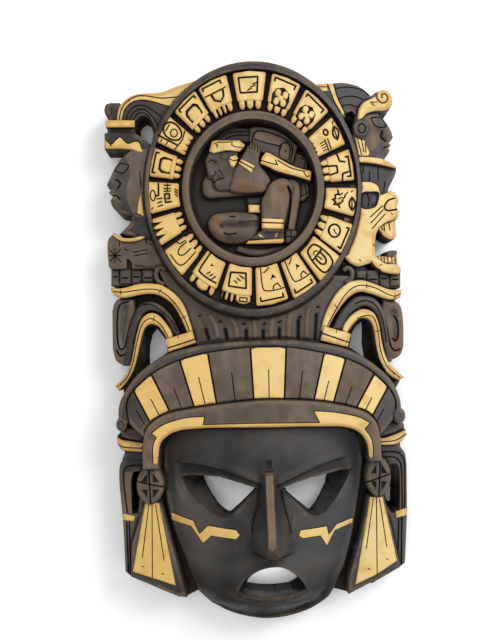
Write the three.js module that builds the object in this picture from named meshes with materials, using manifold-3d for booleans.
// A carved wooden wall mask, cut from one plank: a large face under a feather headdress, and over
// it a disc of nineteen tiles round a crouching bearer, with small heads and scrolls at its sides.
// It lies on its back: +Z is out of the face, +Y is towards the top and +X is to the viewer's right.

import * as THREE from 'three';
import { mergeVertices } from 'three/addons/utils/BufferGeometryUtils.js';
import Module from 'manifold-3d';

const wasm = await Module();
wasm.setup();

// Driving dimensions, in millimetres
const MASK_HEIGHT = 558;
const SCOOP = { across: 178, along: 144, deep: 48, middle: [262, 523] };
const NAIL_HOLE = { radius: 4, deep: 14 };
const SPLINE_STEP = 20;
const EDGE_ROUND = 1.6;
const GROOVE = { wide: 1.8, deep: 1.6 };

// Heights over the back of the plank
const LEVEL = {
  gap: 22, chain: 37, garment: 42, coil: 41, feather: 46, tie: 49, sideHead: 46,
  discRim: 56, ringFloor: 44, tile: 54, moulding: 57, medallion: 28,
  neck: 42, headdressRim: 63, segment: 66, headband: 77,
  facePlate: 26, flare: 46, earplug: 62, pendant: 56,
};

// The outlines are drawn on a sheet with x to the right and y down, one millimetre to a unit at
// EDGE level. The eye stands over the sheet, so what is nearer to it looks larger than it is.
const SHEET = { maskHeight: 558, middle: [255.7, 339.5], eye: [240, 320], eyeHeight: 900, edge: 45 };
const UNIT = MASK_HEIGHT / SHEET.maskHeight;

// The place in plan of a point seen on the sheet at the given height
function plan([x, y], height) {
  const nearer = (SHEET.eyeHeight - height) / (SHEET.eyeHeight - SHEET.edge);
  const across = SHEET.eye[0] + (x - SHEET.eye[0]) * nearer - SHEET.middle[0];
  const along = SHEET.middle[1] - SHEET.eye[1] - (y - SHEET.eye[1]) * nearer;
  return new THREE.Vector2(across * UNIT, along * UNIT);
}

// A smooth line through the points, as points about SPLINE_STEP apart
function bend(...points) {
  const spline = new THREE.SplineCurve(points.map(([x, y]) => new THREE.Vector2(x, y)));
  const steps = Math.max(3, Math.round(spline.getLength() / SPLINE_STEP));
  return spline.getSpacedPoints(steps).map((p) => [p.x, p.y]);
}

function bandOutline({ over, under }) {
  return [...bend(...over), ...bend(...[...under].reverse())];
}

function ellipse([x, y], [rx, ry], count = 24) {
  return Array.from({ length: count }, (_, i) => {
    const turn = (2 * Math.PI * i) / count;
    return [x + rx * Math.sin(turn), y - ry * Math.cos(turn)];
  });
}

// A closed smooth outline
const loop = (...points) => bend(...points, points[0]).slice(1);

// An eye shape between two corners, its lids arched by the given part of its length
function almond([x1, y1], [x2, y2], arch, count = 4) {
  const lid = (side) => Array.from({ length: count }, (_, i) => {
    const t = (i + (side > 0 ? 0 : 1)) / count;
    const rise = side * arch * Math.sin(Math.PI * t);
    return [x1 + (x2 - x1) * t + (y2 - y1) * rise, y1 + (y2 - y1) * t - (x2 - x1) * rise];
  });
  return [...lid(1), ...lid(-1).reverse()];
}

function box(left, top, right, bottom) {
  return [[left, top], [right, top], [right, bottom], [left, bottom]];
}

// The outline of a strip of the given width along a line
function strip(points, wide) {
  const sides = [[], []];
  points.forEach(([x, y], i) => {
    const [from, to] = [points[Math.max(0, i - 1)], points[Math.min(points.length - 1, i + 1)]];
    const run = [to[0] - from[0], to[1] - from[1]];
    const half = wide / 2 / Math.hypot(...run);
    sides[0].push([x + run[1] * half, y - run[0] * half]);
    sides[1].unshift([x - run[1] * half, y + run[0] * half]);
  });
  return sides.flat();
}

// Whether a line turns by more than about 50 degrees at one of its points
function hasCorner(points) {
  return points.slice(1, -1).some(([x, y], i) => {
    const [before, after] = [points[i], points[i + 2]];
    const [a, b] = [[x - before[0], y - before[1]], [after[0] - x, after[1] - y]];
    return a[0] * b[0] + a[1] * b[1] < 0.64 * Math.hypot(...a) * Math.hypot(...b);
  });
}

function toSolid(geometry) {
  const bare = geometry.clone();
  bare.deleteAttribute('normal');
  bare.deleteAttribute('uv');
  const merged = mergeVertices(bare, 1e-4);
  return new wasm.Manifold(new wasm.Mesh({
    numProp: 3,
    vertProperties: new Float32Array(merged.attributes.position.array),
    triVerts: new Uint32Array(merged.index.array),
  }));
}

function toGeometry(solid) {
  const { numProp, vertProperties, triVerts } = solid.getMesh();
  const places = [];
  for (let i = 0; i < vertProperties.length; i += numProp) {
    places.push(vertProperties[i], vertProperties[i + 1], vertProperties[i + 2]);
  }
  const geometry = new THREE.BufferGeometry();
  geometry.setAttribute('position', new THREE.Float32BufferAttribute(places, 3));
  geometry.setIndex([...triVerts]);
  geometry.computeVertexNormals();
  return geometry;
}

const joined = (solids) => solids.reduce((all, solid) => all.add(solid));
const cut = (solid, cutters) => cutters.reduce((rest, cutter) => rest.subtract(cutter), solid);

const BELOW = -12;

// A plate with its outline seen at its top, and its top edge rounded over
function plate(points, top, { base = BELOW, round = EDGE_ROUND } = {}) {
  const shape = new THREE.Shape(points.map((p) => plan(p, top)));
  const geometry = new THREE.ExtrudeGeometry(shape, {
    depth: top - base - 2 * round,
    bevelEnabled: round > 0,
    bevelThickness: round,
    bevelSize: round,
    bevelOffset: -round,
    bevelSegments: 1,
  });
  geometry.translate(0, 0, base + round);
  return toSolid(geometry);
}

// What a straight-walled cut to the given floor takes away, its outline seen at the given height
function recess(points, floor, seenAt) {
  const shape = new THREE.Shape(points.map((p) => plan(p, seenAt)));
  const geometry = new THREE.ExtrudeGeometry(shape, { depth: 110 - floor, bevelEnabled: false });
  geometry.translate(0, 0, floor);
  return toSolid(geometry);
}

// What a groove takes away. One with a corner is cut straight by straight.
function groove(points, top, wide = GROOVE.wide, deep = GROOVE.deep) {
  const runs = hasCorner(points) ? points.slice(1).map((to, i) => [points[i], to]) : [points];
  return joined(runs.map((run) => recess(strip(run, wide), top - deep, top)));
}

const HOLE_OVERRUN = 0.25;

const middleOf = ([ax, ay], [bx, by]) => [(ax + bx) / 2, (ay + by) / 2];

function spot(point, height) {
  const { x, y } = plan(point, height);
  return new THREE.Vector3(x, y, height);
}

// How high the hollow in the back reaches where a point of the sheet is seen in it
function roofHeight(point) {
  const middle = plan(SCOOP.middle, 0);
  let height = SCOOP.deep / 2;
  for (let i = 0; i < 4; i += 1) {
    const off = plan(point, height).sub(middle);
    const rest = 1 - (off.x / (SCOOP.across / 2)) ** 2 - (off.y / (SCOOP.along / 2)) ** 2;
    height = SCOOP.deep * Math.sqrt(Math.max(0, rest));
  }
  return height;
}

// What a hole takes away: its outline runs through a row of places for each of its points
function pierced(outline, columns) {
  const layers = columns[0].length - 1;
  const geometry = new THREE.ExtrudeGeometry(new THREE.Shape(outline), {
    depth: layers, steps: layers, bevelEnabled: false,
  });
  const place = geometry.attributes.position;
  for (let i = 0; i < place.count; i += 1) {
    const here = new THREE.Vector2(place.getX(i), place.getY(i));
    const column = columns[outline.findIndex((p) => p.distanceTo(here) < 1e-3)];
    place.setXYZ(i, ...column[Math.round(place.getZ(i))].toArray());
  }
  return toSolid(geometry);
}

// A hole through the plank, with one outline at the front and a smaller one at the back
function hole(front, back, seenAt) {
  const columns = front.map((point, i) => {
    const [from, to] = [spot(point, seenAt), spot(back[i], 0)];
    return [from.clone().lerp(to, 1 + HOLE_OVERRUN), to.clone().lerp(from, 1 + HOLE_OVERRUN)];
  });
  return pierced(front.map((point) => plan(point, seenAt)), columns);
}

// A hole through the face. From its outline there it narrows to its outline in the roof of the
// hollow, and it goes straight on to the back from there.
function faceHole({ front, back }) {
  const columns = front.map((point, i) => {
    const rim = spot(point, faceHeight(...point));
    const roof = spot(back[i], roofHeight(back[i]));
    return [new THREE.Vector3(roof.x, roof.y, BELOW), roof, roof.clone().lerp(rim, 1 + HOLE_OVERRUN)];
  });
  return pierced(front.map((point) => plan(point, FACE.edgeAt)), columns);
}

function bead([x, y], [rx, ry], top) {
  const place = plan([x, y], top);
  const geometry = new THREE.SphereGeometry(1, 8, 6);
  geometry.rotateX(Math.PI / 2);
  geometry.scale(rx, ry, 10);
  geometry.translate(place.x, place.y, top - 10);
  return joined([toSolid(geometry), plate(ellipse([x, y], [rx - 0.6, ry - 0.6],
    8), top - 10, { round: 0 })]);
}

// The disc with its rim, tile ring and sunk medallion
const DISC = { middle: [253, 188.5], size: [109, 128.5] };
const RING = { middle: [253.2, 188.8], size: [105, 120.4] };
const TILES = { middle: [252.5, 188.2], outer: [104, 117.6], inner: [73, 79.2], count: 19 };
const MOULDING = { middle: [253.2, 188], outer: [71.5, 78], inner: [64.5, 69.5] };

function disc() {
  const rimmed = plate(ellipse(DISC.middle, DISC.size, 32), LEVEL.discRim, { round: 3 });
  const ring = cut(recess(ellipse(RING.middle, RING.size, 32), LEVEL.ringFloor, LEVEL.discRim), [
    recess(ellipse(MOULDING.middle, MOULDING.outer), 0, LEVEL.discRim),
  ]);
  const band = plate(ellipse(MOULDING.middle, MOULDING.outer), LEVEL.moulding, { round: 2.6 });
  const medallion = recess(ellipse(MOULDING.middle, MOULDING.inner), LEVEL.medallion, LEVEL.moulding);
  return cut(joined([cut(rimmed, [ring]), band]), [medallion]);
}

// A point on a tile: across from -1 to 1 clockwise, and inward from 0 at the rim to 1
function onTile(turn, halfTurn, across, inward) {
  const angle = turn + across * halfTurn;
  const [rx, ry] = [0, 1].map((axis) => TILES.outer[axis] * (1 - inward) + TILES.inner[axis] * inward);
  return [TILES.middle[0] + rx * Math.sin(angle), TILES.middle[1] - ry * Math.cos(angle)];
}

// The marks of the tiles in tile coordinates: lines that are grooves, and pools that are sunk.
// They are plain traditional ornament: brackets, frames, arches, rings and combs.
const BRACKET = [[-0.7, 0.12], [0.62, 0.12]];
const EYE_POOL = [[-0.05, 0.14], [0.3, 0.08], [0.62, 0.16], [0.3, 0.22]];
const RING_POOL = ellipse([0, 0.5], [0.46, 0.18], 8);

const MARKS = {
  square: { lines: [[[-0.05, 0.48], [0.34, 0.26]]], pools: [box(-0.68, 0.17, 0.54, 0.57)] },
  cross: { lines: [BRACKET], pools: [[[-0.6, 0.76], [-0.6, 0.42], [-0.35, 0.3], [0.35, 0.3], [0.6, 0.42],
    [0.6, 0.76]]] },
  beast: { lines: [[[0.02, 0.46], [0.95, 0.46]]], pools: [EYE_POOL] },
  hooks: { lines: [BRACKET, [[-0.9, 0.38], [-0.4, 0.38]], [[0.4, 0.38], [0.9, 0.38]]], pools: [] },
  rays: { lines: [[[-0.5, 0.3], [0.2, 0.45]], [[-0.8, 0.62], [0.6, 0.62]]], pools: [EYE_POOL] },
  ring: { lines: [BRACKET], pools: [RING_POOL] },
  oval: { lines: [[[-0.2, 0.56], [0.2, 0.56]]],
    pools: [box(-0.5, 0.16, 0.5, 0.48), box(-0.5, 0.62, 0.5, 0.84)] },
  corner: { lines: [BRACKET, [[-0.9, 0.34], [0.5, 0.4]], [[0.54, 0.42], [0.54, 0.96]]], pools: [] },
  arches: { lines: [[[-0.6, 0.74], [-0.45, 0.22], [0.2, 0.12], [0.8, 0.22]], [[-0.1, 0.72], [0.05, 0.42],
    [0.6, 0.4]]], pools: [] },
  fingers: { lines: [-0.45, 0.1, 0.5].map((across) => [[across, -0.02],
    [across + 0.08, 0.28]]), pools: [] },
  shell: { lines: [[[-0.5, 0.02], [-0.4, 0.7]]], pools: [RING_POOL] },
  panel: { lines: [BRACKET], pools: [box(-0.5, 0.32, 0.56, 0.56)] },
  cup: { lines: [BRACKET], pools: [[[-0.5, 0.36], [0.6, 0.36], [0.3, 0.64], [-0.25, 0.64]]] },
};

// Clockwise from the top: where each tile starts and ends, in pitches, its mark, and its feet:
// 1 for feet towards the middle, -1 for feet towards the rim and 0 for none.
const TILE_ROWS = [
  [-0.12, 0.9, 'square', 1], [1.08, 2, 'cross', 1], [2.18, 3.08, 'cross', 1], [3.25, 4.08, 'beast', 0],
  [4.23, 5.06, 'hooks', 1], [5.25, 5.99, 'rays', 0], [6.18, 7, 'ring', 1], [7.06, 7.91, 'oval', 0],
  [8, 8.79, 'corner', 0], [8.92, 9.86, 'corner', 0], [10.03, 11.03, 'square', -1],
  [11.18, 12.1, 'corner', -1],
  [12.25, 13.08, 'arches', 1], [13.23, 13.95, 'fingers', 1], [14.08, 14.9, 'beast', 0],
  [15.03, 15.78, 'panel', 1],
  [15.93, 16.68, 'shell', 1], [16.85, 17.68, 'panel', 1], [17.78, 18.7, 'cup', 1],
];
const PITCH = (2 * Math.PI) / TILES.count;
const FOOT_CUTS = [-0.34, 0.34];

function tile([start, end, mark, feet]) {
  const turn = ((start + end) / 2 - 0.5) * PITCH;
  const half = ((end - start) / 2) * PITCH;
  const at = ([across, inward]) => onTile(turn, half, across, inward);
  const corners = [[-1, 0], [0, -0.02], [1, 0], [1, 1], [-1, 1]];
  const block = plate(corners.map(at), LEVEL.tile, { base: LEVEL.ringFloor - 2, round: 0 });
  const lines = MARKS[mark].lines.map((line) => groove(line.map(at), LEVEL.tile));
  const pools = MARKS[mark].pools.map((pool) => recess(pool.map(at), LEVEL.tile - GROOVE.deep, LEVEL.tile));
  const feetFrom = feet > 0 ? 0.84 : 0.16;
  const feetTo = feet > 0 ? 1.02 : -0.02;
  const footCuts = feet === 0 ? [] : FOOT_CUTS.map((across) => (
    groove([at([across, feetFrom]), at([across, feetTo])], LEVEL.tile, 2.2, 6)));
  return cut(block, [...lines, ...pools, ...footCuts]);
}

// The bearer in the medallion, seen from the side, with a pack on a strap
const BEARER = {
  hair: [[214, 141], ...bend([216.3, 138], [225.5, 129.8], [236.6, 127], [249, 128.5]), [249, 141]],
  brow: [[208.9, 151], [211, 142.5], [214.5, 140], [237.5, 140], [245, 144.6], [240, 152], [225.5, 150.6],
    [212.6, 153]],
  face: [[208, 152], [205.5, 166], [208.5, 178], [213, 181], [215, 190], [229, 187], [240, 165],
    [236, 150]],
  chest: [[205, 168], ...bend([202.5, 176], [203, 192], [209, 197], [240, 197], [264, 194]), [250, 180]],
  arm: [[246.8, 145], [259.7, 149], [259.5, 167], [272, 181], [262, 193], [236.6, 192.5], [229.5, 187],
    [233, 172]],
  armBand: [[240.3, 158.3], [254.4, 165.4], [251.4, 172.4], [238, 165.4]],
  strap: [[266.2, 152.4], ...bend([275.4, 157.5], [291.2, 164.9], [305, 169.3]), [311, 170.5],
    [309.6, 179.7],
    ...bend([296.7, 176], [278.2, 170.5], [261.6, 165])],
  pack: [[249.5, 140], [250.5, 128], ...bend([254.2, 126.1], [269, 128.9], [282.8, 135.3], [297.6, 146]),
    [293, 162], [270, 152], [258, 150]],
  packTail: [[293, 156], [301.3, 156], [307.5, 160], [308, 188], [310, 198], [301, 200.5], [296, 180]],
  leg: [...bend([261.8, 232], [261.6, 203], [266.2, 193.6], [271.7, 182.5], [281, 178.8], [290, 183],
    [289.5, 198],
    [285.6, 217], [284, 232])],
  cloth: [...bend([286, 180], [292.1, 179.7], [298.5, 184.3], [300.4, 193.6], [298.5, 207.5],
    [293.9, 227]), [284, 228]],
  anklet: box(261.3, 218, 284, 228.8),
  foot: [[246, 243.6], [249.5, 239.6], [263, 231], [284.2, 231], [284.4, 242.2]],
  block: box(285.5, 229, 297, 243.5),
  wrist: [[246, 198], [264, 198], [262, 216], [248, 216]],
  wristBand: box(248.2, 204.3, 260.4, 212.6),
  shin: loop([233, 211], [211, 214.9], [207.7, 226], [216.3, 238.9], [228, 243.5], [241.2, 242.6],
    [252.3, 238],
    [260, 226], [258, 214.5]),
  ground: [...bend([233, 245.5], [262, 249], [294, 242]), ...bend([290, 248], [262, 256], [240, 252])],
};
const BEARER_TOPS = {
  hair: 40, brow: 44, face: 42, chest: 37, arm: 45, armBand: 47, strap: 49, pack: 42, packTail: 35, leg: 48,
  cloth: 41, anklet: 50, foot: 43, block: 37, wrist: 38, wristBand: 41, shin: 43, ground: 33,
};

function bearer() {
  const parts = Object.entries(BEARER).map(([name, outline]) => plate(outline, BEARER_TOPS[name], {
    base: LEVEL.medallion - 2, round: 0,
  }));
  return cut(joined(parts), [
    groove([[239, 161.6], [253.4, 168.8]], BEARER_TOPS.armBand),
    groove([[260, 223], [286, 223]], BEARER_TOPS.anklet),
    groove(bend([220.9, 139.4], [230.1, 132.6], [249, 131.6]), BEARER_TOPS.hair),
    groove(bend([256, 131.6], [269, 133], [281, 138.5], [291, 147], [288.4, 157]), BEARER_TOPS.pack),
    groove([[221, 227], [250, 228]], BEARER_TOPS.shin),
  ]);
}

// The head, garment and headgear left of the disc
const LEFT_CREST = { over: [[116.3, 124], [119, 107], [128, 97.4], [139, 93.6], [160, 92], [177, 86],
  [196, 80]],
  under: [[134, 124], [138, 118], [143, 115.5], [149, 119], [153, 132], [153, 146], [160, 160]] };
const LEFT_GEAR = {
  tube: box(108.5, 102, 119, 124),
  crest: bandOutline(LEFT_CREST),
  bar: box(105.6, 120, 134.6, 127),
  underBar: box(107.2, 125, 134.6, 135),
  wave: [[104.4, 132.6], ...bend([134, 132.6], [139.5, 136], [143, 141], [150, 145]), [150, 165],
    ...bend([143.5, 159], [135, 150.4], [128, 149.4], [120.4, 148.7], [104.2, 148.7])],
};
const LEFT_GEAR_TOPS = { tube: 40, crest: 42, bar: 48, underBar: 42, wave: 45 };
const LEFT_HEAD = [
  ...bend([131, 149], [121, 157.8], [113.3, 169], [108.4, 179.5]), [106.4, 184.2], [108.5, 187.6],
  [110.6, 188], [108.6, 192.6], [112, 197.2], [110.6, 200],
  ...bend([112.4, 205.7], [115.8, 210.6], [120.7, 214.4], [131.5, 216.4]),
  ...bend([130.7, 221.4], [126.5, 226.4], [119, 234]), [152, 240], [152, 149],
];
const LEFT_GARMENT = [[114, 234], [107.5, 241], [107.7, 261], [110.8, 269], [170, 269], [160, 232],
  [130, 241]];
const LEFT_WEB = [[150, 262], [170, 262], [190, 300], [176, 292], [150, 286]];
const LEFT_COLLAR = { over: [[113.3, 232.7], [121, 237], [129, 238], [138, 236.6], [147.4, 232.4]],
  under: [[112.5, 235.5], [120, 240.4], [129, 241.6], [139, 240], [148.6, 235.4]] };

function leftSide() {
  const gear = Object.entries(LEFT_GEAR).map(([name, outline]) => plate(outline, LEFT_GEAR_TOPS[name],
    { round: 0 }));
  const crestLines = [0.2, 0.42, 0.7].map((part) => bend(...LEFT_CREST.over.slice(0, 6).map(([x, y], i) => {
    const [ux, uy] = LEFT_CREST.under[i];
    return [x + (ux - x) * part, y + (uy - y) * part];
  })));
  return cut(joined([
    ...gear,
    bead([107.8, 109.5], [4, 6.4], 43),
    plate(LEFT_HEAD, LEVEL.sideHead, { round: 3.4 }),
    plate(LEFT_GARMENT, LEVEL.garment, { round: 0 }),
    plate(LEFT_WEB, LEVEL.chain - 4, { round: 0 }),
    plate(bandOutline(LEFT_COLLAR), LEVEL.garment + 3, { round: 0 }),
  ]), [
    ...crestLines.map((line) => groove(line, LEFT_GEAR_TOPS.crest)),
    groove([[109, 249], [121, 262]], LEVEL.garment),
    groove([[121, 249], [109, 262]], LEVEL.garment),
    groove([[127, 257], [127, 270]], LEVEL.garment, 4, 5),
    recess(almond([114.5, 170], [128.8, 166.4], 0.24), LEVEL.sideHead - 1.6, LEVEL.sideHead),
    groove([[110, 197.4], [115.5, 196.4], [119.5, 199.5]], LEVEL.sideHead, 1.6, 3),
    groove(bend([117, 180], [120.4, 184], [117.5, 188.5]), LEVEL.sideHead, 2, 3),
  ]);
}

// The chain rows under the side figures, each a run of blocks with a slot in the middle
const CHAINS = [
  { edges: [110.6, 119.3, 130.8, 141.6, 154.8], top: 269, bottom: 287 },
  { edges: [354, 367, 379, 390, 400.6], top: 268, bottom: 288 },
];

function chain({ edges, top, bottom }) {
  const middle = (top + bottom) / 2;
  const links = edges.slice(1).map((right, i) => {
    const link = plate(box(edges[i] + 0.4, top, right - 0.4, bottom), LEVEL.chain + (i % 2) * 2,
      { round: 0 });
    return cut(link, [groove([[edges[i] + 3, middle], [right - 3, middle]], LEVEL.chain + 2, 1.8, 3)]);
  });
  return joined([plate(box(edges[0] + 2, top, edges.at(-1) - 1, bottom), LEVEL.chain - 3, { round: 0 }),
    ...links]);
}

// The scroll feathers between the disc and the headdress, at both sides
const SCROLLS = [
  {
    upper: { over: [[110.3, 288.6], [126.8, 286.8], [149, 283.4], [164.3, 285.9], [180.4, 298.4],
      [189, 317], [194, 335]],
      under: [[113.4, 293.5], [124, 298.4], [144.6, 294.8], [160, 295.6], [172, 303.5], [182, 319.8],
        [188, 335]] },
    middle: { over: [[122, 362], [127.7, 336], [131.5, 318], [138, 306], [149, 302], [161, 306.5],
      [171.4, 318], [180, 336]],
      under: [[132, 362], [134.8, 336], [137.5, 321.5], [142, 314.5], [148.5, 312], [156, 313],
        [163, 318], [170, 334]] },
    inner: { over: [[114.7, 386.5], [125.9, 374.3], [133, 352.9], [136.6, 333.2], [142, 317.1],
      [149, 313.4], [159, 315.6],
      [170.5, 330], [174, 340]],
    under: [[119.2, 390.8], [130, 378], [137.5, 362.7], [141, 340.4], [144.5, 328.6], [151, 324.3],
      [158.5, 327.6],
      [164.5, 334.5], [168, 345]] },
    coil: [[112, 312], ...bend([114.3, 302.9], [119.2, 299.3], [132, 300]), [134, 330], [131, 360],
      ...bend([128, 364], [119.2, 364], [114, 358], [112.3, 345])],
    coilLine: bend([126.5, 308], [118, 310], [117, 340], [121, 349.5], [126.5, 341]),
    gap: [[118, 296], [150, 292], [166, 297], [182, 318], [192, 338], [168, 338], [150, 306], [126, 306]],
    tie: [[164.3, 339.8], [192.5, 331], [196, 343], [168.2, 352.4]],
    tieLine: [[165.4, 348.6], [196, 338.8]],
    web: [[117, 386], [133, 352], [137, 330], [148, 316], [160, 318], [174, 336], [196, 340], [170, 356],
      [150, 368], [124, 392]],
    front: [[151.5, 324.6], [158, 327.8], [168, 345], [168, 352], [151, 364.5], [134, 377.5], [141, 345],
      [144.5, 329]],
    back: [[157, 328], [161, 333], [169, 345], [168, 352], [152.5, 363], [150, 364.5], [150.5, 350],
      [152.5, 335]],
  },
  {
    upper: { over: [[402, 289.6], [387, 288.6], [373.9, 283], [362, 279.8], [345.2, 285.4], [332.5, 299],
      [323.5, 319], [321, 330]],
      under: [[401.5, 296.5], [392, 299.8], [376, 295.8], [362.4, 291.6], [349, 296.6], [338.5, 310.3],
        [330, 323], [327, 332]] },
    middle: { over: [[393, 356], [387.3, 326.6], [383.5, 309.5], [376, 299.2], [366.2, 295.2],
      [355.5, 298], [343, 311], [333, 331]],
      under: [[384.4, 356], [381.6, 334.2], [379, 321], [373.5, 311.6], [366.5, 308], [357.5, 309.6],
        [349, 317.5], [344, 332]] },
    inner: { over: [[404.4, 377.6], [390, 364], [384, 352], [381.4, 339], [379.5, 325], [373.9, 312.9],
      [364.5, 308.8], [353, 314], [345, 330]],
      under: [[399, 380.4], [385, 371], [377.5, 355], [375.2, 340], [373, 327.5], [367.5, 319.6],
        [361, 319.6], [354, 325.6], [349.5, 332]] },
    coil: [...bend([384, 301], [395.9, 301.7], [402, 309], [404.2, 331.3]), ...bend([404, 346],
      [401.5, 354.5], [388, 360]),
      [384, 340], [380, 320]],
    coilLine: bend([390, 308], [397.5, 311], [400, 335], [396.5, 347.5], [391, 340]),
    gap: [[398, 298], [362, 290], [344, 300], [328, 322], [326, 334], [346, 334], [356, 306], [388, 306]],
    tie: [[323.8, 326], [351.2, 333.8], [347.8, 347.2], [320.6, 340.4]],
    tieLine: [[322, 333.6], [350.6, 342.8]],
    web: [[400, 379], [384, 356], [379, 326], [366, 312], [352, 318], [322, 332], [330, 346], [352, 356],
      [380, 374], [396, 384]],
    front: [[366.5, 319.4], [360.5, 320], [350, 332], [348.4, 347.5], [358.6, 354], [388, 374],
      [375.5, 345], [373, 328]],
    back: [[360, 321], [357, 323], [349.4, 334], [348.4, 347.5], [358.6, 354], [364, 357.5], [361, 342],
      [360, 330]],
  },
];

function scroll(side) {
  const round = { round: 2.4 };
  const forms = joined([
    plate(side.web, LEVEL.gap + 10, { round: 0 }),
    plate(side.gap, LEVEL.gap, { round: 0 }),
    plate(bandOutline(side.upper), LEVEL.feather, round),
    plate(bandOutline(side.middle), LEVEL.coil, { round: 0 }),
    plate(side.coil, LEVEL.coil, { round: 0 }),
    plate(bandOutline(side.inner), LEVEL.feather, round),
  ]);
  const lines = [side.upper].map(({ over, under }) => groove(bend(...over.map(([x, y], i) => {
    const [ux, uy] = under[Math.round((i / (over.length - 1)) * (under.length - 1))];
    return [(x + ux) / 2, (y + uy) / 2];
  })), LEVEL.feather, 1.5, 1.6));
  const tie = cut(plate(side.tie, LEVEL.tie), [groove(side.tieLine, LEVEL.tie)]);
  return joined([cut(forms, [
    ...lines, hole(side.front, side.back, LEVEL.feather), groove(side.coilLine, LEVEL.coil, 2.2, 3),
  ]), tie]);
}

// The head, garment and beast right of the disc
const HAIR_DOME = [[306, 84], [327, 83], ...bend([332, 83], [344, 82.6], [357, 85.2], [365.4, 90.2],
  [371, 95.6]),
  [371, 116], [345, 118], [334, 122]];
const CURL = [
  ...bend([357.8, 118.6], [359.5, 109], [364, 102.5], [370, 98.8], [377, 98.6]),
  ...bend([377.4, 92.5], [382.2, 89.4], [388.5, 92.2], [392.5, 98.9], [391, 106], [384, 110.6],
    [374.2, 111.2], [366, 113.4]),
];
const RIGHT_HEAD = [
  [345, 112], [378, 112], ...bend([379.8, 114.1], [386.9, 122.1], [391.7, 130.5],
  [393.1, 136.8]), [389, 141],
  [391.2, 144.2], [388.7, 147], [390, 149.4], ...bend([388.5, 153.4], [385, 159.2],
  [386, 161]), [352, 164], [340, 130],
];
const RIGHT_COLLAR = { over: [[356, 156.8], [371.8, 157.4], [384.6, 159.6], [396, 166.6]],
  under: [[356, 162.6], [370, 163.4], [384, 165.4], [396, 168.4]] };
const RIGHT_GARMENT = [[352, 162], [396.2, 167.6], ...bend([396.2, 171.6], [393, 179.5],
  [387.6, 191.5]), [386, 204], [356, 204]];
const RIGHT_WEB = [[336, 262], [358, 262], [362, 282], [346, 286], [330, 300]];
const BEAST = [
  [352, 186], [363, 181.6], ...bend([371.4, 182], [378.1, 185.7], [380.5, 195.5]),
  ...bend([386.4, 192.4], [391.3, 191.1], [396.3, 194], [398.4, 199.8], [397.4, 206.5]),
  ...bend([398.6, 212], [398.4, 217.4], [393.8, 219.9]), [395.6, 220], [396, 236],
  [389.7, 238.9], [383, 235.5], [379.5, 229.5],
  ...bend([376.6, 233], [375.4, 244], [376.6, 256]), [387, 256], [388, 252], [391.3, 250.6],
    [397.2, 251.2], [397.2, 265.7],
  ...bend([400.4, 268.4], [400.4, 272.6], [393, 273.8], [380, 270.6], [371, 263]),
  ...bend([366.5, 263.9], [358, 266.2], [349.9, 263]), [340, 250],
];
const BEAST_EYE = loop([365, 194], [371, 191.8], [378.4, 192.4], [378, 200], [374.4, 207.4], [366, 207.4]);

function rightSide() {
  const beastTop = LEVEL.sideHead;
  return cut(joined([
    plate(HAIR_DOME, LEVEL.garment, { round: 0 }),
    plate(RIGHT_HEAD, LEVEL.sideHead, { round: 3 }),
    plate(CURL, LEVEL.sideHead + 3, { round: 2 }),
    plate(RIGHT_GARMENT, LEVEL.garment, { round: 0 }),
    plate(RIGHT_WEB, LEVEL.chain - 4, { round: 0 }),
    plate(bandOutline(RIGHT_COLLAR), LEVEL.garment + 3, { round: 0 }),
    plate(BEAST, beastTop, { round: 2 }),
  ]), [
    ...[0, 1].map((i) => groove(bend([334 + 4 * i, 88 + 9 * i], [348, 86.6 + 9 * i],
      [360 - i, 89.4 + 9 * i]), LEVEL.garment)),
    recess(ellipse([381.6, 99.5], [3.4, 3.6], 8), LEVEL.sideHead - 1, LEVEL.sideHead + 3),
    recess(almond([372.2, 119.4], [385.3, 125.6], 0.22), LEVEL.sideHead - 1.6, LEVEL.sideHead),
    groove(bend([381.4, 132], [380.6, 138.8], [385.8, 141.4]), LEVEL.sideHead, 2, 3),
    groove([[383.6, 147.6], [391, 147]], LEVEL.sideHead, 1.6, 3),
    groove(ellipse([361.8, 128.4], [4.6, 5.2], 10), LEVEL.sideHead, 1.8, 2),
    ...[369.4, 378.1].map((x) => groove([[x, 167], [x, 181]], LEVEL.garment)),
    recess(BEAST_EYE, beastTop - 4, beastTop),
    groove(bend([394.4, 198.6], [388, 200.7], [385.2, 206.8], [388, 210.6],
      [396, 209.8]), beastTop, 1.8, 3),
    ...[0, 1, 2].map((i) => groove([[371.4 + i * 0.8, 216.4 + 6 * i], [382.4 + i * 1.2, 205.6 + 4.2 * i]],
      beastTop, 1.6)),
    ...[384, 388.8].map((x) => groove([[x, 224.5], [x + 1, 234]], beastTop, 1.8, 4)),
    ...[383.6, 387.6, 391.6].map((x) => groove([[x, 256], [x, 263.6]], beastTop, 1.4, 4)),
  ]);
}

// The fan of feathers between the disc and the headdress
const NECK = [[158, 270], [166, 286], [178, 300], [187, 316], [193, 332], [199, 350], [318, 350],
  [322, 338], [328, 322],
  [336, 306], [345, 292], [354, 276]];
const NECK_RIDGES = 8;

function neck() {
  const fan = plate(NECK, LEVEL.neck, { round: 0 });
  const lines = Array.from({ length: NECK_RIDGES }, (_, i) => {
    const part = (i + 0.5) / NECK_RIDGES;
    return groove([[196 + 120 * part, 312 - 8 * Math.sin(Math.PI * part)], [205 + 111 * part, 348]],
      LEVEL.neck, 3, 4);
  });
  return cut(fan, lines);
}

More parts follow.
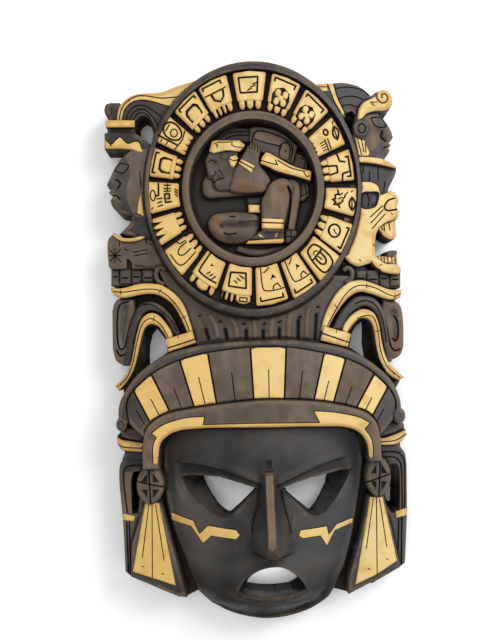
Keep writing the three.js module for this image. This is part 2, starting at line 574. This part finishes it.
// The headdress: a sloping fan of eleven feathers between a raised rim and the headband
const RIM_LINE = [[118, 422], [119.5, 403], [130.7, 383], [144.5, 368.5], [164.3, 355.6], [194, 347],
  [223.6, 342.8], [260, 340.6],
  [292, 340.2], [323.7, 344], [349, 350], [371, 361.8], [391, 379.7], [400.6, 400], [401, 416]];
const INNER_RIM_LINE = [[129, 424], [126.5, 404], [134, 389], [152.4, 372.4], [178, 359.6],
  [206.8, 351.7], [248.3, 346.4],
  [286.8, 346], [321.6, 351.3], [347.9, 358], [371, 370], [388.9, 387], [396, 402], [393, 420]];
const BAND_LINE = [[146, 440], [151.5, 424], [169.3, 414], [194, 408.6], [216.7, 405.4], [253.3, 401],
  [285.8, 400.2],
  [313, 401.2], [334, 403.8], [357, 409], [372, 416.5], [380, 436]];
const FEATHER_SEAMS = [
  [[132.2, 388.6], [149, 420.4]], [[151, 373.4], [169, 410]], [[179.1, 358.6], [194.3, 407.7]],
  [[207.6, 352.5], [216.7, 404.1]], [[250.2, 347], [253.8, 400]], [[286.3, 346], [284.5, 399.4]],
  [[324.2, 352.5], [313.4, 403]], [[345.9, 358], [333.3, 403.8]], [[374.8, 372.3], [355.6, 409.5]],
  [[388.1, 386.8], [371.2, 418.2]],
];

function headdress() {
  const rim = cut(plate([...bend(...RIM_LINE), [385, 440], [140, 440]],
    LEVEL.headdressRim, { round: 2.6 }), [
    recess([...bend(...INNER_RIM_LINE), [385, 450], [140, 450]], LEVEL.segment - 8, LEVEL.headdressRim),
  ]);
  const field = plate([...bend(...INNER_RIM_LINE), ...bend(...[...BAND_LINE].reverse())],
    LEVEL.segment, { round: 0 });
  const seams = FEATHER_SEAMS.map((seam) => groove(seam, LEVEL.segment, 2, 2));
  const splits = FEATHER_SEAMS.slice(1).map(([top, low], i) => {
    const [head, foot] = [middleOf(top, FEATHER_SEAMS[i][0]), middleOf(low, FEATHER_SEAMS[i][1])];
    return groove([middleOf(head, foot), foot], LEVEL.segment, 1.6, 1.6);
  });
  return joined([rim, cut(field, [...seams, ...splits])]);
}

// The headband: an arch over the forehead that comes down to the earplugs
const HEADBAND = {
  over: [[142.5, 468], [142.5, 445], [148, 427], [166, 415], [194, 409], [253, 401.5], [310, 401.5],
    [352, 408], [372, 417],
    [380, 432], [382.3, 460]],
  under: [[158.5, 468], [158.8, 452], [163.1, 440.2], [177.7, 431.8], [204.5, 428.8], [260, 428],
    [320, 427], [345, 427.6],
    [359.1, 432.6], [367, 444], [369, 460]],
};
const INLAY = {
  over: [[152.8, 463], [152.8, 447], [156.3, 437.2], [151, 433.4], [166.2, 423.4], [189.2, 417.3],
    [204.5, 416.5], [203.5, 424.4],
    [260, 423.4], [319.5, 422.6], [314, 411], [353, 415.4], [370.2, 422.7], [364.8, 428.8],
    [370.6, 437.2], [373, 456]],
};

function headband() {
  const band = plate(bandOutline(HEADBAND), LEVEL.headband, { base: LEVEL.facePlate, round: 2 });
  const line = groove(INLAY.over, LEVEL.headband, 1.6, 1.4);
  return cut(band, [line]);
}

// The ear pieces: a flare, an earplug with four sunk triangles and a long pendant at each side
const EARS = [
  {
    bead: [121.5, 426.3], tube: [[124, 427.5], [146, 429], [146, 439], [126, 437]],
    cuff: { over: [[117.3, 436.6], [127, 440.6], [145, 442]], under: [[117.5, 445.4], [124, 450.8],
      [145, 452.6]] },
    flare: [[146, 449], [126, 452], ...bend([125, 453], [119.6, 464], [119.3, 484],
      [122, 514]), [123.4, 530],
      [125.3, 572], [131.8, 577.3], [150, 585], [150, 449]],
    slot: [...bend([131.6, 513.7], [131.2, 480], [134, 471.6]), [141.5, 470.6], [138, 513.7]],
    flareLine: bend([145, 465.5], [131, 465.6], [124.6, 470], [124, 490], [127.4, 513]),
    anklet: [[122, 513.8], [134.8, 516.6], [133.5, 521.6], [123, 520.4]],
    plug: [150, 485.6], plugSize: [13.8, 18.8],
    frame: [[144.5, 503], [160.5, 503], [172, 545], [187, 597.8], [178.5, 597], [131, 577], [131.6, 545]],
    panel: [[145.4, 505], [158.4, 505], [175.4, 585.8], [152.4, 578.2], [132.6, 572]],
    lines: [[[152, 505], [152.4, 577]], [[148.6, 506], [142.5, 556]], [[155.6, 506], [164, 560]]],
    slotFloor: 12,
  },
  {
    bead: [401, 417], tube: [[378, 421], [399, 417], [399, 430], [380, 434]],
    cuff: { over: [[379, 438], [393, 434.4], [406.6, 429.6]], under: [[379, 445.4], [399, 444.4],
      [406.4, 436]] },
    flare: [[376, 446], [398.9, 445.6], ...bend([401, 446.6], [405.6, 452.6], [407, 466]), [407, 563],
      [399.6, 568],
      [372, 584], [372, 446]],
    slot: [[386.5, 505.5], [383.2, 500], [388, 480], [389, 464], ...bend([396, 463], [399.6, 469],
      [400, 513]), [391, 513]],
    flareLine: bend([380, 457], [393, 457.4], [400.6, 461.6], [403.2, 474], [403.4, 508]),
    anklet: [[395.8, 512], [407.4, 508.2], [407.2, 515.2], [396.6, 517.8]],
    plug: [378.9, 477.4], plugSize: [12.5, 20.2],
    frame: [[368.5, 496], [384, 496], [399.8, 563], [399.6, 568], [348.6, 594.6], [348.4, 580], [361, 535]],
    panel: [[370, 498], [382.6, 498], [397, 561], [377.4, 574.2], [355.6, 584.6]],
    lines: [[[376.4, 498], [376.6, 574]], [[373, 499], [366.4, 548]], [[379.6, 499], [386.6, 546]]],
    slotFloor: -1,
  },
];
const PLUG_CUTS = 4;

function earplug([x, y], [rx, ry]) {
  const knob = plate(ellipse([x, y], [rx, ry], 14), LEVEL.earplug, { round: 3 });
  const cross = [
    groove([[x - 0.6, y - ry], [x + 0.6, y + ry]], LEVEL.earplug, 1.8, 2),
    groove([[x - rx, y], [x + rx, y]], LEVEL.earplug, 1.8, 2),
  ];
  const wells = Array.from({ length: PLUG_CUTS }, (_, i) => {
    const [sx, sy] = [i % 2 ? 1 : -1, i < 2 ? 1 : -1];
    const corners = [[0.16, 0.18], [0.66, 0.18],
      [0.16, 0.6]].map(([a, b]) => [x + sx * a * rx, y + sy * b * ry]);
    return recess(corners, LEVEL.earplug - 4, LEVEL.earplug);
  });
  return cut(knob, [...cross, ...wells]);
}

function ear(side) {
  const flare = cut(joined([
    plate(side.flare, LEVEL.flare, { round: 0 }),
    plate(side.tube, LEVEL.flare, { round: 0 }),
    plate(bandOutline(side.cuff), LEVEL.flare + 6, { round: 2 }),
    plate(side.anklet, LEVEL.flare + 2, { round: 0 }),
    bead(side.bead, [5.4, 6.8], LEVEL.flare + 4),
  ]), [
    recess(side.slot, side.slotFloor, LEVEL.flare),
    groove(side.flareLine, LEVEL.flare, 2, 2),
  ]);
  const pendant = cut(joined([
    plate(side.frame, LEVEL.pendant - 2, { round: 0 }),
    plate(side.panel, LEVEL.pendant, { base: LEVEL.flare, round: 0 }),
  ]), side.lines.map((line) => groove(line, LEVEL.pendant, 1.6)));
  return joined([flare, pendant, earplug(side.plug, side.plugSize)]);
}

// The face: a curved shield with a brow ledge, a ridged nose, cheeks and a pouting mouth
const FACE = {
  outline: [...bend([162, 440], [163.6, 470], [166, 495], [171, 518], [183, 552], [198.2, 589.8]),
    ...bend([211.4, 603], [231.7, 612.5], [255.6, 618], [274.7, 618.4], [293.8, 615], [312.9, 607.8],
      [327.2, 598.2],
      [334.4, 587.4]),
    ...bend([344, 566], [352, 535], [357.6, 500], [362, 470], [364, 440]), [364, 422], [160, 422]],
  browLeft: [[178, 464], [190, 463.8], [205.4, 465.1], [224.5, 469.2], [241.2, 475.2], [257, 481.5]],
  browRight: [[280.6, 483], [301, 472.8], [317.7, 465.6], [336.8, 459.6], [357, 456.6]],
  seenAt: 62,
  edgeAt: 42,
};
const EYES = [
  {
    front: [[180.3, 476.4], [195.8, 474.7], [219.7, 476.4], [238.8, 482.3], [258, 488.3], [243.6, 503.8],
      [231.7, 515.8],
      [220, 517.2], [205, 509.4], [190, 495]],
    back: [[204, 474], [212, 474.4], [224, 475.4], [240, 480.6], [256.4, 487.4], [244, 498.5],
      [233, 507.5], [227, 508.6],
      [218.6, 502.6], [210, 489.4]],
  },
  {
    front: [[351.6, 467.8], [333, 471.6], [312, 477], [296, 482.3], [281, 488.3], [296, 502.5],
      [309, 514], [318, 515.6],
      [328, 508.6], [341, 490]],
    back: [[328.6, 470], [322, 471.6], [309, 475.4], [296, 481], [282.6, 488.2], [292, 499], [302, 507.6],
      [308, 508.4],
      [317.4, 496.7], [324.4, 483]],
  },
];
const MOUTH = {
  front: [[238.4, 592.4], [243.6, 581.5], [255.6, 572.4], [269.9, 567.6], [284.2, 568], [296.2, 574.6],
    [306.4, 589.8],
    [293.8, 594.4], [272.3, 596.8], [255.6, 595.4]],
  back: [[245, 582], [249, 576.6], [257, 572.8], [269.9, 568.4], [284.2, 569], [291.6, 572], [297, 577],
    [288, 582.4], [272.3, 586], [258, 585.4]],
};
const NOSE = { top: [268.6, 470], tip: [272.4, 556], topHalf: 5, tipHalf: 24, ridgeHalf: 4 };

const blend = (from, to, part) => from + (to - from) * Math.min(1, Math.max(0, part));
const eased = (part) => { const t = Math.min(1, Math.max(0, part)); return t * t * (3 - 2 * t); };

// The height on a line of [y, height] pairs, from the top of the face down
function along(stops, y) {
  const next = stops.findIndex(([at]) => at > y);
  if (next === 0) return stops[0][1];
  if (next < 0) return stops.at(-1)[1];
  const [[y0, z0], [y1, z1]] = [stops[next - 1], stops[next]];
  return z0 + (z1 - z0) * eased((y - y0) / (y1 - y0));
}

const CROWN = [[424, 66], [455, 70], [478, 66], [520, 66], [560, 68], [580, 71], [600, 66], [622, 52]];
const HALF_WIDTH = [[424, 98], [480, 97], [520, 91], [560, 80], [590, 68], [604, 58], [620, 36]];
const NOSE_RIDGE = [[470, 76], [500, 84], [545, 96], [557, 95]];
const NOSE_MIDDLE_X = 263;

function browLine(x) {
  const line = x < NOSE_MIDDLE_X + 4 ? FACE.browLeft : FACE.browRight;
  const next = Math.max(1, line.findIndex(([at]) => at > x));
  const [[x0, y0], [x1, y1]] = [line[next - 1], line[next]];
  return y0 + (y1 - y0) * ((x - x0) / (x1 - x0));
}

// The height of the face at a point of the sheet
function faceHeight(x, y) {
  const off = Math.min(1, Math.abs(x - NOSE_MIDDLE_X) / along(HALF_WIDTH, y));
  const chinFall = 14 * eased((y - 596) / 26);
  let height = blend(42, along(CROWN, y), 1 - off ** 2.6) - chinFall * off;
  const under = y - browLine(Math.min(356, Math.max(179, x)));
  const socket = 7 * eased(under / 4) * (1 - eased((under - 24) / 34));
  height -= socket * (1 - eased((off - 0.82) / 0.12));
  const lip = Math.hypot((x - 272) / 44, (y - 583) / 24);
  height += 5 * eased((1.25 - lip) / 0.5);
  const fall = (y - NOSE.top[1]) / (NOSE.tip[1] - NOSE.top[1]);
  if (fall > 0 && fall < 1.03) {
    const ridgeX = blend(NOSE.top[0], NOSE.tip[0], fall);
    const half = blend(NOSE.topHalf, NOSE.tipHalf, fall ** 1.5) + NOSE.ridgeHalf;
    const away = Math.max(0, Math.abs(x - ridgeX) - NOSE.ridgeHalf) / half;
    const side = Math.max(0, 1 - away) ** 0.8;
    height = Math.max(height, blend(height, along(NOSE_RIDGE, y), side));
  }
  return height;
}

function face() {
  const [cells, rows] = [16, 17];
  const [left, top, right, bottom] = [158, 420, 370, 628];
  const block = new THREE.BoxGeometry(1, 1, 1, cells, rows, 1);
  const place = block.attributes.position;
  for (let i = 0; i < place.count; i += 1) {
    const x = left + (right - left) * (place.getX(i) + 0.5);
    const y = bottom + (top - bottom) * (place.getY(i) + 0.5);
    const here = plan([x, y], FACE.seenAt);
    place.setXYZ(i, here.x, here.y, place.getZ(i) > 0 ? faceHeight(x, y) : BELOW);
  }
  return toSolid(block).intersect(recess(FACE.outline, BELOW, FACE.edgeAt));
}

// The plank behind the face and the pendants
const FACE_PLATE = [[124, 430], [400, 430], [402, 565], [349, 592], [333, 588], [310, 606], [270, 614],
  [230, 608], [198, 590],
  [187, 596], [128, 574]];

function scoop() {
  const geometry = new THREE.SphereGeometry(1, 14, 8);
  geometry.rotateX(Math.PI / 2);
  geometry.scale(SCOOP.across / 2, SCOOP.along / 2, SCOOP.deep);
  const middle = plan(SCOOP.middle, 0);
  geometry.translate(middle.x, middle.y, 0);
  return toSolid(geometry);
}

function nailHole() {
  const geometry = new THREE.CylinderGeometry(NAIL_HOLE.radius, NAIL_HOLE.radius, 2 * NAIL_HOLE.deep, 16);
  geometry.rotateX(Math.PI / 2);
  const middle = plan([253, 92], 0);
  geometry.translate(middle.x, middle.y, 0);
  return toSolid(geometry);
}

function belowBack() {
  const geometry = new THREE.BoxGeometry(2 * MASK_HEIGHT, 2 * MASK_HEIGHT, 100);
  geometry.translate(0, 0, -50);
  return toSolid(geometry);
}

function mask() {
  const carving = joined([
    disc(), bearer(), ...TILE_ROWS.map(tile), leftSide(), rightSide(), ...CHAINS.map(chain),
    ...SCROLLS.map(scroll), neck(), headdress(), plate(FACE_PLATE, LEVEL.facePlate, { round: 0 }),
      ...EARS.map(ear),
    face(), headband(),
  ]);
  return cut(carving, [...[...EYES, MOUTH].map(faceHole), scoop(), nailHole(), belowBack()]);
}

const geometry = toGeometry(mask());
geometry.computeBoundingBox();
const middle = geometry.boundingBox.getCenter(new THREE.Vector3());
geometry.translate(-middle.x, -middle.y, 0);

const carving = new THREE.Mesh(geometry, new THREE.MeshStandardMaterial({
  color: 0x4a4440, roughness: 0.62, metalness: 0,
}));
carving.name = 'mask';

const part = new THREE.Group();
part.add(carving);
export default part;
